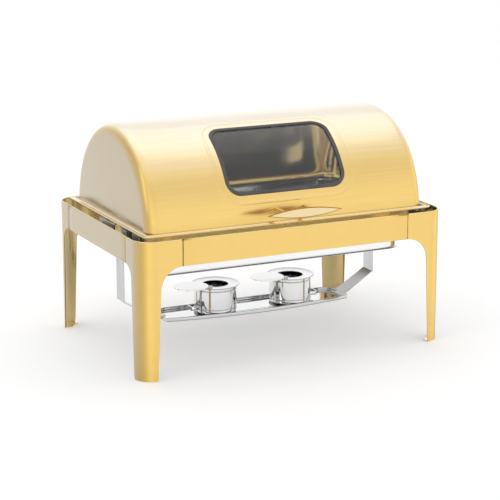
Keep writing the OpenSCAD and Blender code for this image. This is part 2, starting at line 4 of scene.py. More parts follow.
import bmesh
import bpy
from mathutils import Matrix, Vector


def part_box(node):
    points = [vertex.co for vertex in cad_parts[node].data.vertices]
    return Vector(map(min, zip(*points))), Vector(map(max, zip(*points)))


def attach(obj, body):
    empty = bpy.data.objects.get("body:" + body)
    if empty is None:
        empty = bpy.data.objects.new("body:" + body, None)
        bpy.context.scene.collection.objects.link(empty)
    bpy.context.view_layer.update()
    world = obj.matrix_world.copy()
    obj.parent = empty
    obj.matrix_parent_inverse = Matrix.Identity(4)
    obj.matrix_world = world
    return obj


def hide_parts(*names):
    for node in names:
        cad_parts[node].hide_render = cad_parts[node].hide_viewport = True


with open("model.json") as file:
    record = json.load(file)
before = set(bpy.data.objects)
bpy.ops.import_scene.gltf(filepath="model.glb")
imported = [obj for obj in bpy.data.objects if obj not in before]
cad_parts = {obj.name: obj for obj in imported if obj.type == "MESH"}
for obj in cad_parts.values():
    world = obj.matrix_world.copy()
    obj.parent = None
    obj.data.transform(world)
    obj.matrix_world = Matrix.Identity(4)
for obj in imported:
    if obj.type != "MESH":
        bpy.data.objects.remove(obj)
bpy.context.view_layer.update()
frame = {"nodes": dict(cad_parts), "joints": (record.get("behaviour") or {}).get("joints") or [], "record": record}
MM = 0.001

# ---------- Measures, taken from the frame where it has them ----------

JOINTS = {j["name"]: j for j in frame["joints"]}
AXIS = Vector(JOINTS["lid_roll"]["pos_m"])
MID_Y = AXIS.y
STAND_HALF_X = -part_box("rail_left")[0].x
STAND_HALF_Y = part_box("rail_rear")[1].y - MID_Y
STAND_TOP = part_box("rail_front")[1].z
RAIL_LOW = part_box("rail_front")[0].z
SEAM_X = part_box("rail_front")[1].x
SEAM_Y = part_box("rail_left")[1].y - MID_Y
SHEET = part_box("rail_front")[1].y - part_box("rail_front")[0].y
LID_LOW, LID_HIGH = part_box("lid_shell")
FLANGE_HALF_X = LID_HIGH.x
FLANGE_HALF_Y = LID_HIGH.y - MID_Y
LID_SHEET = 1.2 * MM
LID_R = 184 * MM
LID_END = 290 * MM
LID_EDGE_R = 24 * MM
BASE_Z = LID_LOW.z
FLANGE_R = 14 * MM
CORNER_R = 38 * MM
FOOT_W = 34 * MM
LEG_TOP_W = 41.5 * MM
ARCH_LONG_R = 44 * MM
ARCH_END_R = 26 * MM
WINDOW_MID = math.radians(44)
WINDOW_HALF = math.radians(24.3)
WINDOW_HALF_X = 125 * MM
WINDOW_R = 30 * MM
BORDER = 7.5 * MM
FLAME_R = 25.5 * MM


# ---------- Mesh helpers ----------

def finish_faces(bm, mesh):
    """Writes bm to the mesh with its faces smooth and their normals outward."""
    bmesh.ops.recalc_face_normals(bm, faces=bm.faces)
    for f in bm.faces:
        f.smooth = True
    bm.to_mesh(mesh)
    bm.free()


def place_mesh(mesh, body, replaced=()):
    """An object with the mesh's name, riding its body in place of the CAD nodes it replaces."""
    piece = bpy.data.objects.new(mesh.name, mesh)
    bpy.context.scene.collection.objects.link(piece)
    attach(piece, body)
    if replaced:
        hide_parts(*replaced)
    return piece


def add_piece(name, verts, faces, body, material, replaced=()):
    mesh = bpy.data.meshes.new(name)
    mesh.from_pydata([tuple(v) for v in verts], [], faces)
    bm = bmesh.new()
    bm.from_mesh(mesh)
    bmesh.ops.remove_doubles(bm, verts=bm.verts, dist=1e-6)
    finish_faces(bm, mesh)
    mesh.materials.append(material)
    return place_mesh(mesh, body, replaced)


def loft(rings, wrap=False):
    """Quads between closed rings of points. wrap joins the last ring to the first."""
    n = len(rings[0])
    verts = [p for ring in rings for p in ring]
    faces = []
    for i in range(len(rings) if wrap else len(rings) - 1):
        a, b = i * n, (i + 1) % len(rings) * n
        for j in range(n):
            k = (j + 1) % n
            faces.append((a + j, a + k, b + k, b + j))
    return verts, faces


def capped_loft(rings):
    """A loft whose first and last rings are filled."""
    verts, faces = loft(rings)
    n = len(rings[0])
    return verts, faces + [tuple(range(n)), tuple(range(len(verts) - n, len(verts)))]


def arc(cx, cy, r, start, end, steps):
    """Points of an arc, with angles in degrees."""
    angles = [math.radians(start + (end - start) * i / steps) for i in range(steps + 1)]
    return [(cx + r * math.cos(a), cy + r * math.sin(a)) for a in angles]


def rounded_rect(half_x, half_y, r, steps=10, along=6):
    """Plan points of a rounded rectangle, always in the same order and number."""
    r = max(r, 0.2 * MM)
    points = []
    for sx, sy, start in ((1, 1, 0), (-1, 1, 90), (-1, -1, 180), (1, -1, 270)):
        points += arc(sx * (half_x - r), sy * (half_y - r), r, start, start + 90, steps)
    dense = []
    for i, p in enumerate(points):
        dense.append(p)
        if i % (steps + 1) == steps:
            q = points[(i + 1) % len(points)]
            dense += [(p[0] + (q[0] - p[0]) * k / along, p[1] + (q[1] - p[1]) * k / along)
                      for k in range(1, along)]
    return dense


def plan_loops(half_x, half_y, r, profile):
    """One loop around a rounded rectangle for each (outward offset, height) in the profile."""
    return [[Vector((x, MID_Y + y, z)) for x, y in rounded_rect(half_x + o, half_y + o, r + o)]
            for o, z in profile]


def lathe(profile, centre, steps=96):
    """Rings of a solid of revolution about a vertical axis, from (radius, height) pairs."""
    turns = [2 * math.pi * k / steps for k in range(steps)]
    return [[Vector((centre[0] + r * math.cos(t), centre[1] + r * math.sin(t), z)) for t in turns]
            for r, z in profile]


def weigh_normals(piece):
    """Shading that keeps large faces flat beside small rounded edges."""
    m = piece.modifiers.new("normals", "WEIGHTED_NORMAL")
    m.mode = "FACE_AREA"


def soften(piece, width, segments=2):
    """Rounds the edges that turn by more than 35 degrees."""
    m = piece.modifiers.new("edges", "BEVEL")
    m.width = width
    m.segments = segments
    m.limit_method = "ANGLE"
    m.angle_limit = math.radians(35)
    m.harden_normals = True


# ---------- Materials ----------

def node_material(name):
    material = bpy.data.materials.new(name)
    material.use_nodes = True
    tree = material.node_tree
    return material, tree, tree.nodes["Principled BSDF"]


def noise(tree, scale, stretch=(1, 1, 1), detail=4.0):
    """Noise in object space, stretched by a mapping."""
    place = tree.nodes.new("ShaderNodeTexCoord")
    mapping = tree.nodes.new("ShaderNodeMapping")
    mapping.inputs["Scale"].default_value = stretch
    texture = tree.nodes.new("ShaderNodeTexNoise")
    texture.inputs["Scale"].default_value = scale
    texture.inputs["Detail"].default_value = detail
    tree.links.new(place.outputs["Object"], mapping.inputs["Vector"])
    tree.links.new(mapping.outputs["Vector"], texture.inputs["Vector"])
    return texture.outputs["Fac"]


def spread(tree, value, low, high):
    """Noise turned into a range of values."""
    node = tree.nodes.new("ShaderNodeMapRange")
    node.inputs["From Min"].default_value = 0.3
    node.inputs["From Max"].default_value = 0.7
    node.inputs["To Min"].default_value = low
    node.inputs["To Max"].default_value = high
    tree.links.new(value, node.inputs["Value"])
    return node.outputs["Result"]


def two_tone(tree, value, first, second):
    ramp = tree.nodes.new("ShaderNodeValToRGB")
    ramp.color_ramp.elements[0].position = 0.3
    ramp.color_ramp.elements[0].color = (*first, 1)
    ramp.color_ramp.elements[1].position = 0.7
    ramp.color_ramp.elements[1].color = (*second, 1)
    tree.links.new(value, ramp.inputs["Fac"])
    return ramp.outputs["Color"]


def bump(tree, value, distance):
    node = tree.nodes.new("ShaderNodeBump")
    node.inputs["Distance"].default_value = distance
    node.inputs["Strength"].default_value = 1.0
    tree.links.new(value, node.inputs["Height"])
    return node.outputs["Normal"]


def painted_light_by_facing(tree, axis, stops):
    """Painted light: colour stops over how far the surface faces the ends, or over 0 for down to 1 for up, used
    for painted reflection bands, highlights and edge shade.
    """
    place = tree.nodes.new("ShaderNodeNewGeometry")
    parts = tree.nodes.new("ShaderNodeSeparateXYZ")
    size = tree.nodes.new("ShaderNodeMath")
    size.operation = "ABSOLUTE" if axis == "X" else "MULTIPLY_ADD"
    size.inputs[1].default_value = 0.5
    size.inputs[2].default_value = 0.5
    ramp = tree.nodes.new("ShaderNodeValToRGB")
    ramp.color_ramp.interpolation = "B_SPLINE"
    for i, (at, colour) in enumerate(stops):
        spot = ramp.color_ramp.elements[i] if i < 2 else ramp.color_ramp.elements.new(at)
        spot.position = at
        spot.color = (*colour, 1) if len(colour) == 3 else colour
    tree.links.new(place.outputs["Normal"], parts.inputs["Vector"])
    tree.links.new(parts.outputs[axis], size.inputs[0])
    tree.links.new(size.outputs[0], ramp.inputs["Fac"])
    return ramp.outputs["Color"]


def blend_colours(tree, share, first, second):
    mix = tree.nodes.new("ShaderNodeMix")
    mix.data_type = "RGBA"
    tree.links.new(share, mix.inputs["Factor"])
    tree.links.new(first, mix.inputs["A"])
    tree.links.new(second, mix.inputs["B"])
    return mix.outputs["Result"]


def multiply_colours(tree, first, second):
    mix = tree.nodes.new("ShaderNodeMix")
    mix.data_type = "RGBA"
    mix.blend_type = "MULTIPLY"
    mix.inputs["Factor"].default_value = 1
    tree.links.new(first, mix.inputs["A"])
    tree.links.new(second, mix.inputs["B"])
    return mix.outputs["Result"]


def grey(level):
    return (level, level, level)


def metal_material(name):
    material, tree, shader = node_material(name)
    shader.inputs["Metallic"].default_value = 1.0
    return material, tree, shader


def metal_surface(tree, shader, rough, grain, grain_depth):
    """Cloudy roughness between two values, and a fine grain."""
    tree.links.new(spread(tree, noise(tree, 14, detail=6), *rough), shader.inputs["Roughness"])
    tree.links.new(bump(tree, noise(tree, 60, grain, detail=3), grain_depth), shader.inputs["Normal"])


def streaks(tree, grain, depth):
    """Faint darker lines along the grain, as a factor on the colour."""
    return two_tone(tree, noise(tree, 26, grain, detail=5), grey(1 - depth), grey(1.0))


def sheet_metal(name, first, second, rough, grain, grain_depth, streak=0.04):
    """Polished sheet: slow colour drift, cloudy roughness and a fine directional grain."""
    material, tree, shader = metal_material(name)
    colour = two_tone(tree, noise(tree, 6, detail=2), first, second)
    lines = streaks(tree, grain, streak)
    tree.links.new(multiply_colours(tree, colour, lines), shader.inputs["Base Color"])
    metal_surface(tree, shader, rough, grain, grain_depth)
    return material


def gold_sheet(name, rough, grain, grain_depth, streak):
    """Gold coating with painted light: painted reflection bands over how far the sheet faces the ends, beige on
    the end faces, and a painted pale highlight where the sheet faces up.
    """
    material, tree, shader = metal_material(name)
    # Painted reflection bands: darker and brighter gold stops by how far the surface faces the ends, beige where
    # it faces them fully.
    front = painted_light_by_facing(tree, "X", [(0.0, (0.89, 0.62, 0.20)), (0.26, (0.85, 0.575, 0.165)),
                                  (0.50, (0.98, 0.68, 0.19)), (0.70, (0.60, 0.40, 0.10)),
                                  (0.87, (0.56, 0.39, 0.15)), (0.96, (0.54, 0.42, 0.24)),
                                  (1.0, (0.55, 0.475, 0.36))])
    # Painted highlight: a pale cream tone, blended in where the sheet faces up.
    painted_highlight_tone = two_tone(tree, noise(tree, 5, detail=2), (0.95, 0.87, 0.71), (0.98, 0.91, 0.77))
    up = painted_light_by_facing(tree, "Z", [(0.0, grey(0.0)), (0.75, grey(0.0)), (0.86, grey(0.42)), (0.975, grey(1.0))])
    base = blend_colours(tree, up, front, painted_highlight_tone)
    lines = streaks(tree, grain, streak)
    tree.links.new(multiply_colours(tree, base, lines), shader.inputs["Base Color"])
    metal_surface(tree, shader, rough, grain, grain_depth)
    return material


def mirror_sheet(name, first, second, stops):
    """Mirror-polished steel with painted dark reflection bands by how far the surface faces up, so rolled and
    folded edges read darker than its flats.
    """
    material, tree, shader = metal_material(name)
    # Painted reflection: grey levels over facing up, multiplied into the colour.
    edges = painted_light_by_facing(tree, "Z", [(at, grey(level)) for at, level in stops])
    drift = two_tone(tree, noise(tree, 6, detail=2), first, second)
    tree.links.new(multiply_colours(tree, drift, edges), shader.inputs["Base Color"])
    metal_surface(tree, shader, (0.05, 0.11), (3, 3, 3), 0.00002)
    return material


# Both gold materials carry gold_sheet's painted reflection bands and painted pale highlight.
GOLD_BARREL = gold_sheet("gold_barrel", (0.16, 0.24), (0.25, 14, 14), 0.00004, 0.05)
GOLD_STAND = gold_sheet("gold_stand", (0.16, 0.24), (1.5, 1.5, 5), 0.00002, 0.03)
GOLD_INNER = sheet_metal("gold_inner", (0.52, 0.40, 0.19), (0.62, 0.48, 0.23), (0.12, 0.2),
                         (2, 2, 4), 0.000004)
# Dark brown on the sheet's cut edges: partly the bare cut edge, partly painted shade so the seams between legs and
# rails read as dark gaps.
CUT_EDGE_AND_SEAM_SHADE = sheet_metal("cut_edge_and_seam_shade", (0.16, 0.09, 0.04), (0.24, 0.14, 0.06), (0.35, 0.5), (5, 5, 5), 0.00003)
BRUSHED_STEEL = sheet_metal("brushed_steel", (0.56, 0.57, 0.59), (0.64, 0.645, 0.66), (0.18, 0.28),
                            (8, 8, 1), 0.00003, 0.06)
# Painted reflection: satin steel coloured warm gold for the pan carrier, standing in for the gold it reflects
# through the gap under the lid.
SATIN_STEEL_PAINTED_GOLD = sheet_metal("satin_steel_painted_gold", (0.95, 0.80, 0.50), (0.98, 0.86, 0.58), (0.22, 0.34),
                          (4, 4, 4), 0.00003, 0.03)
HANDLE_GOLD = sheet_metal("handle_gold", (0.80, 0.65, 0.35), (0.88, 0.72, 0.41), (0.10, 0.17),
                          (1, 8, 8), 0.00002, 0.03)
# Painted shade: dark brown for the handle's back and bevelled edge.
HANDLE_PAINTED_SHADE = sheet_metal("handle_painted_shade", (0.36, 0.16, 0.03), (0.45, 0.22, 0.05), (0.2, 0.3),
                          (1, 8, 8), 0.00002, 0.03)
# Painted reflection: darker grey bands on surfaces facing partly down and partly up.
MIRROR = mirror_sheet("mirror_steel", (0.80, 0.80, 0.81), (0.86, 0.86, 0.86),
                      [(0.0, 0.96), (0.05, 0.9), (0.14, 0.36), (0.30, 0.40), (0.42, 0.96), (0.60, 0.96),
                       (0.72, 0.58), (0.86, 0.60), (0.96, 0.98), (1.0, 1.0)])
# Painted light: a brighter copy of the mirror steel so the pans read white, with a deep painted dark reflection
# band on down-facing rounded edges.
PAN_STEEL_PAINTED_LIGHT = mirror_sheet("pan_steel_painted_light", (0.93, 0.93, 0.935), (0.98, 0.98, 0.98),
                         [(0.0, 0.90), (0.08, 0.80), (0.15, 0.10), (0.24, 0.10), (0.33, 0.98), (0.62, 0.98),
                          (0.76, 0.66), (0.88, 0.70), (0.96, 0.92), (1.0, 0.94)])
PLAIN_STEEL = sheet_metal("plain_steel", (0.52, 0.52, 0.53), (0.62, 0.62, 0.62), (0.22, 0.34),
                          (4, 4, 4), 0.00004)


def rubber_material():
    material, tree, shader = node_material("dark_rubber")
    tree.links.new(two_tone(tree, noise(tree, 40), (0.055, 0.052, 0.052), (0.085, 0.080, 0.080)),
                   shader.inputs["Base Color"])
    tree.links.new(spread(tree, noise(tree, 220), 0.42, 0.58), shader.inputs["Roughness"])
    tree.links.new(bump(tree, noise(tree, 900), 0.00005), shader.inputs["Normal"])
    return material


def glass_material():
    material, tree, shader = node_material("clear_glass")
    shader.inputs["Base Color"].default_value = (0.97, 0.99, 0.98, 1)
    shader.inputs["Transmission Weight"].default_value = 1.0
    shader.inputs["IOR"].default_value = 1.46
    tree.links.new(spread(tree, noise(tree, 18), 0.0, 0.03), shader.inputs["Roughness"])
    tree.links.new(bump(tree, noise(tree, 9, detail=1), 0.00002), shader.inputs["Normal"])
    return material


def nylon_material():
    material, tree, shader = node_material("white_nylon")
    tree.links.new(two_tone(tree, noise(tree, 60), (0.78, 0.77, 0.72), (0.86, 0.85, 0.81)),
                   shader.inputs["Base Color"])
    tree.links.new(spread(tree, noise(tree, 200), 0.45, 0.6), shader.inputs["Roughness"])
    return material


RUBBER = rubber_material()
GLASS = glass_material()
NYLON = nylon_material()
BY_SLOT = {"gold_sheet": GOLD_STAND, "mirror_steel": MIRROR, "fastener_steel": PLAIN_STEEL,
           "dark_rubber": RUBBER, "clear_glass": GLASS, "white_nylon": NYLON}


def dress_cad_nodes():
    """Every CAD node takes its slot's material and softened edges; the hangers take brushed steel, and the pan
    carrier takes a satin steel painted gold as a painted reflection of the gold around it.
    """
    slots = {s["node"]: s["material_slot"] for s in frame["record"]["subparts"]}
    special = {"hanger_left": BRUSHED_STEEL, "hanger_right": BRUSHED_STEEL, "pan_carrier": SATIN_STEEL_PAINTED_GOLD}
    for name, node in frame["nodes"].items():
        node.data.materials.clear()
        node.data.materials.append(special.get(name, BY_SLOT[slots[name]]))
        soften(node, 0.35 * MM)


# ---------- Lid ----------

def on_barrel(x, angle, r):
    """A point at an angle above the front of the barrel, at radius r from the roll axis."""
    return Vector((x, AXIS.y - r * math.cos(angle), AXIS.z + r * math.sin(angle)))


def smooth_step(t):
    t = min(max(t, 0), 1)
    return t * t * (3 - 2 * t)


RIM_START = 11 * MM
RIM_END = 18 * MM
RIM_RISE = 0.75 * MM


def rim_height(gap):
    """Rise of the pressed rim at a distance from the window opening."""
    ramp = 1.6 * MM
    return RIM_RISE * min(smooth_step((gap - RIM_START) / ramp), smooth_step((RIM_END - gap) / ramp))


def panel_grid(low, high, step):
    n = max(1, round((high - low) / step))
    return [low + (high - low) * i / n for i in range(n + 1)]


def barrel_piece():
    """The barrel as a fine skin: a grid with a patch around the window, rounded ends and flat panels."""
    bm = bmesh.new()
    margin = 26 * MM
    arc_half = LID_R * WINDOW_HALF
    patch_x = WINDOW_HALF_X + margin
    patch_a = (arc_half + margin) / LID_R
    step = 4 * MM
    flat_x = LID_END - LID_EDGE_R
    in_x = panel_grid(-patch_x, patch_x, step)
    xs = panel_grid(-flat_x, -patch_x, 16 * MM)[:-1] + in_x + panel_grid(patch_x, flat_x, 16 * MM)[1:]
    base_angle = math.asin((BASE_Z - AXIS.z) / LID_R)
    low, high = WINDOW_MID - patch_a, WINDOW_MID + patch_a
    in_a = panel_grid(low, high, step / LID_R)
    angles = (panel_grid(base_angle, low, step / LID_R)[:-1] + in_a
              + panel_grid(high, math.pi - base_angle, step / LID_R)[1:])
    made = {}

    def vert(x, a):
        key = (round(x, 6), round(a, 6))
        if key not in made:
            made[key] = bm.verts.new(on_barrel(x, a, LID_R))
        return made[key]

    for x0, x1 in zip(xs, xs[1:]):
        for a0, a1 in zip(angles, angles[1:]):
            inside = (-patch_x < (x0 + x1) / 2 < patch_x) and (low < (a0 + a1) / 2 < high)
            if not inside:
                bm.faces.new((vert(x0, a0), vert(x1, a0), vert(x1, a1), vert(x0, a1)))
    # The patch: rings that run from the opening's rounded outline out to the grid
    border = ([(x, low) for x in in_x] + [(patch_x, a) for a in in_a[1:]]
              + [(x, high) for x in reversed(in_x[:-1])] + [(-patch_x, a) for a in reversed(in_a[1:-1])])
    core_x, core_s = WINDOW_HALF_X - WINDOW_R, arc_half - WINDOW_R
    rim_gaps = [RIM_START + k * 0.4 * MM for k in range(-1, 20)]
    gaps = [0, 0.6 * MM, 4 * MM, 8 * MM, *rim_gaps, margin - 5 * MM]
    rings = []
    for gap in gaps:
        ring = []
        for x, a in border:
            s = (a - WINDOW_MID) * LID_R
            cx, cs = min(max(x, -core_x), core_x), min(max(s, -core_s), core_s)
            away = Vector((x - cx, s - cs)).normalized()
            px, ps = cx + away.x * (WINDOW_R + gap), cs + away.y * (WINDOW_R + gap)
            ring.append(bm.verts.new(on_barrel(px, WINDOW_MID + ps / LID_R, LID_R + rim_height(gap))))
        rings.append(ring)
    rings.append([vert(x, a) for x, a in border])
    for r0, r1 in zip(rings, rings[1:]):
        for i in range(len(border)):
            j = (i + 1) % len(border)
            bm.faces.new((r0[i], r0[j], r1[j], r1[i]))
    # Rounded ends and flat end panels
    share = [(a - base_angle) / (math.pi - 2 * base_angle) for a in angles]
    for side in (-1, 1):
        previous = [vert(side * flat_x, a) for a in angles]
        for x, r in arc(flat_x, LID_R - LID_EDGE_R, LID_EDGE_R, 90, 0, 10)[1:]:
            start = math.asin((BASE_Z - AXIS.z) / r)
            ring = [bm.verts.new(on_barrel(side * x, start + t * (math.pi - 2 * start), r)) for t in share]
            for i in range(len(angles) - 1):
                bm.faces.new((previous[i], previous[i + 1], ring[i + 1], ring[i]))
            previous = ring
        bm.faces.new(previous)
    mesh = bpy.data.meshes.new("lid_barrel")
    finish_faces(bm, mesh)
    mesh.materials.append(GOLD_BARREL)
    mesh.materials.append(GOLD_INNER)
    piece = place_mesh(mesh, "lid", ["lid_shell"])
    inside = piece.modifiers.new("thickness", "SOLIDIFY")
    inside.thickness = LID_SHEET
    inside.offset = -1
    inside.use_even_offset = True
    inside.material_offset = 1
    inside.material_offset_rim = 0


def flange_piece():
    """Flange around the lid's base, with a rolled outer edge."""
    bead = 1.5 * MM
    width = FLANGE_HALF_X - LID_END
    inner = -width - 0.3 * MM
    top = BASE_Z + 1.5 * MM
    profile = [(inner, BASE_Z + 0.2 * MM), (-2 * bead, BASE_Z + 0.2 * MM)]
    profile += arc(-bead, BASE_Z + bead, bead, -110, 170, 12)
    profile += [(-2.6 * bead, top - 0.4 * MM), (inner + 4 * MM, top - 0.4 * MM)]
    profile += arc(inner + 4 * MM, top + 3.2 * MM, 3.6 * MM, -90, -165, 5)
    verts, faces = loft(plan_loops(FLANGE_HALF_X, FLANGE_HALF_Y, FLANGE_R, profile), wrap=True)
    add_piece("lid_flange", verts, faces, "lid", GOLD_BARREL)


def window_outline(grow, steps=12, along=24):
    arc_half = LID_R * WINDOW_HALF
    return rounded_rect(WINDOW_HALF_X + grow, arc_half + grow, WINDOW_R + grow, steps, along)


def window_loops(profile):
    """Loops that follow the window's outline on the barrel, from (outward offset, radius) pairs."""
    return [[on_barrel(x, WINDOW_MID + s / LID_R, r) for x, s in window_outline(o)] for o, r in profile]


def gasket_piece():
    proud = 0.9 * MM
    low = LID_R - LID_SHEET - 0.3 * MM
    profile = [(0, low), (0, LID_R)]
    profile += [(-1.2 * MM, LID_R + proud), (-BORDER + 1.5 * MM, LID_R + proud)]
    profile += [(-BORDER, LID_R), (-BORDER, low)]
    verts, faces = loft(window_loops(profile), wrap=True)
    piece = add_piece("window_seal", verts, faces, "lid", RUBBER, ["window_gasket"])
    soften(piece, 0.5 * MM, 3)


def glass_piece():
    lap = 8 * MM
    arc_half = LID_R * WINDOW_HALF + lap
    half_x = WINDOW_HALF_X + lap
    r = WINDOW_R + lap
    outer, inner = LID_R - LID_SHEET - 0.1 * MM, LID_R - LID_SHEET - 3 * MM
    verts, faces = [], []
    columns = panel_grid(-half_x, half_x, 6 * MM)
    rows = 24
    for radius in (outer, inner):
        for x in columns:
            over = max(0, abs(x) - (half_x - r))
            half_s = arc_half - r + math.sqrt(max(r * r - over * over, 0)) if over else arc_half
            for k in range(rows + 1):
                verts.append(on_barrel(x, WINDOW_MID + (2 * k / rows - 1) * half_s / LID_R, radius))
    n, layer = rows + 1, len(columns) * (rows + 1)
    for i in range(len(columns) - 1):
        for k in range(rows):
            a = i * n + k
            faces.append((a, a + n, a + n + 1, a + 1))
            faces.append((layer + a, layer + a + 1, layer + a + n + 1, layer + a + n))
        for k in (0, rows):
            a = i * n + k
            faces.append((a, a + n, layer + a + n, layer + a))
    for i in (0, len(columns) - 1):
        for k in range(rows):
            a = i * n + k
            faces.append((a, a + 1, layer + a + 1, layer + a))
    add_piece("window_pane", verts, faces, "lid", GLASS, ["window_glass"])


def handle_piece():
    """Leaf-shaped plate with a bevelled edge and a slight crown, with painted shade in dark brown on its back and
    bevelled edge.
    """
    low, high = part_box("lid_handle")
    half_l, half_h = (high.x - low.x) / 2, (high.z - low.z) / 2
    mid_z, thick = (high.z + low.z) / 2, high.y - low.y
    radius = (half_l ** 2 + half_h ** 2) / (2 * half_h)

    def half_height(x):
        return max(math.sqrt(radius ** 2 - x ** 2) - (radius - half_h), 0.1 * MM)

    columns = 64
    layers = [(1.6 * MM, thick), (0.5 * MM, thick - 0.15 * MM), (0.0, thick - 0.6 * MM), (0.0, 1.7 * MM),
              (0.7 * MM, 0.9 * MM), (1.7 * MM, 0.35 * MM), (2.6 * MM, 0.15 * MM), (4.5 * MM, 0.0)]
    rings = []
    for inset, depth in layers:
        length = half_l - inset * 3.2
        xs = [-length * math.cos(math.pi * i / columns) for i in range(columns + 1)]
        ring = [Vector((x, low.y + depth, mid_z + half_height(x * half_l / length) * (1 - inset / half_h)))
                for x in xs]
        ring += [Vector((v.x, v.y, 2 * mid_z - v.z)) for v in reversed(ring[1:-1])]
        rings.append(ring)
    verts, faces = loft(rings)
    n = len(rings[0])
    front = (len(rings) - 1) * n
    for start in (0, front):
        faces.append((start, start + 1, start + n - 1))
        for i in range(1, columns - 1):
            faces.append((start + i, start + i + 1, start + n - i - 1, start + n - i))
        faces.append((start + columns - 1, start + columns, start + columns + 1))
    piece = add_piece("handle_leaf", verts, faces, "lid", HANDLE_GOLD, ["lid_handle"])
    piece.data.materials.append(HANDLE_PAINTED_SHADE)
    # Faces behind the front crown take the dark brown painted shade.
    for face in piece.data.polygons:
        face.material_index = int(face.center.y > low.y + 0.5 * MM)
    weigh_normals(piece)


def rivet_piece():
    """Hub rivets with domed heads inside the lid, dressed flush with the end panels outside."""
    low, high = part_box("hub_rivets")
    head_r, shank_r = 4 * MM, 2 * MM
    inner = LID_END - LID_SHEET - 4 * MM
    profile = [(0.05 * MM, 0), (2.4 * MM, 0.1 * MM), (3.5 * MM, 0.4 * MM), (head_r, 0.8 * MM)]
    profile += [(head_r, 1 * MM), (shank_r, 1 * MM), (shank_r, 4.6 * MM)]
    turns = [2 * math.pi * k / 24 for k in range(24)]
    verts, faces = [], []
    for side in (-1, 1):
        for y in (low.y + head_r, high.y - head_r):
            for z in (low.z + head_r, high.z - head_r):
                rings = [[Vector((side * (inner + depth), y + r * math.cos(t), z + r * math.sin(t)))
                          for t in turns] for r, depth in profile]
                more, rivet_faces = capped_loft(rings)
                faces += [tuple(len(verts) + i for i in face) for face in rivet_faces]
                verts += more
    add_piece("hub_rivets_domed", verts, faces, "lid", PLAIN_STEEL, ["hub_rivets"])


# ---------- Stand ----------

def arch_height(distance, arch_r):
    """Height of a leg's lower edge at a distance from the stand's corner."""
    spring = RAIL_LOW - arch_r
    if distance <= FOOT_W:
        return 0.0
    if distance <= LEG_TOP_W:
        return spring * (distance - FOOT_W) / (LEG_TOP_W - FOOT_W)
    if distance < LEG_TOP_W + arch_r:
        return spring + math.sqrt(arch_r ** 2 - (LEG_TOP_W + arch_r - distance) ** 2)
    return RAIL_LOW


HEM = 2.4 * MM
HEM_T = 2.6 * MM


def sheet_section(low):
    """A sheet's section as (depth behind the outer face, height, material), hemmed inward along the top."""
    e = 0.5 * MM
    outer = [(o, z, 0) for o, z in ((e, low), (0.15 * MM, low + 0.15 * MM), (0, low + e))]
    rows = [(0, low + e + (STAND_TOP - HEM - low - e) * k / 8, 0) for k in range(1, 9)]
    crease = [(0.25 * MM, STAND_TOP - HEM + 0.2 * MM, 0), (0.25 * MM, STAND_TOP - HEM + 0.5 * MM, 0),
              (0, STAND_TOP - HEM + 0.8 * MM, 0)]
    head = [(HEM_T / 2 - HEM_T / 2 * math.cos(math.radians(t)), STAND_TOP - HEM_T / 2
             + HEM_T / 2 * math.sin(math.radians(t)), 0) for t in (20, 45, 70, 90, 110, 135, 160, 180)]
    inner = [(SHEET, STAND_TOP - HEM - 0.6 * MM, 1)]
    drop = STAND_TOP - HEM - 0.6 * MM - low - e - 0.2 * MM
    inner += [(SHEET, STAND_TOP - HEM - 0.6 * MM - drop * k / 8, 1) for k in range(1, 9)]
    # Material 2 is the dark brown of cut edges and painted seam shade.
    inner += [(SHEET, low + e, 2), (SHEET - e, low, 2)]
    return outer + rows + crease + head + inner


def skin(name, node, columns):
    """A bent sheet swept through columns of (x, y, outward x, outward y, lower edge)."""
    verts, faces, paint = [], [], []
    for x, y, nx, ny, low in columns:
        verts += [(x - nx * d, y - ny * d, z) for d, z, _ in sheet_section(low)]
    marks = [m for _, _, m in sheet_section(0)]
    n = len(marks)
    for i in range(len(columns) - 1):
        for j in range(n):
            k = (j + 1) % n
            faces.append((i * n + j, i * n + k, (i + 1) * n + k, (i + 1) * n + j))
            paint.append(marks[k] if k else 2)
    # The end faces at the seams take material 2, the dark brown painted seam shade.
    for i in (0, len(columns) - 1):
        faces.append(tuple(range(i * n, i * n + n)))
        paint.append(2)
    mesh = bpy.data.meshes.new(name)
    mesh.from_pydata(verts, [], faces)
    for material in (GOLD_STAND, GOLD_INNER, CUT_EDGE_AND_SEAM_SHADE):
        mesh.materials.append(material)
    mesh.polygons.foreach_set("material_index", paint)
    bm = bmesh.new()
    bm.from_mesh(mesh)
    finish_faces(bm, mesh)
    piece = place_mesh(mesh, "stand", [node])
    weigh_normals(piece)


SEAM_GAP = 0.7 * MM


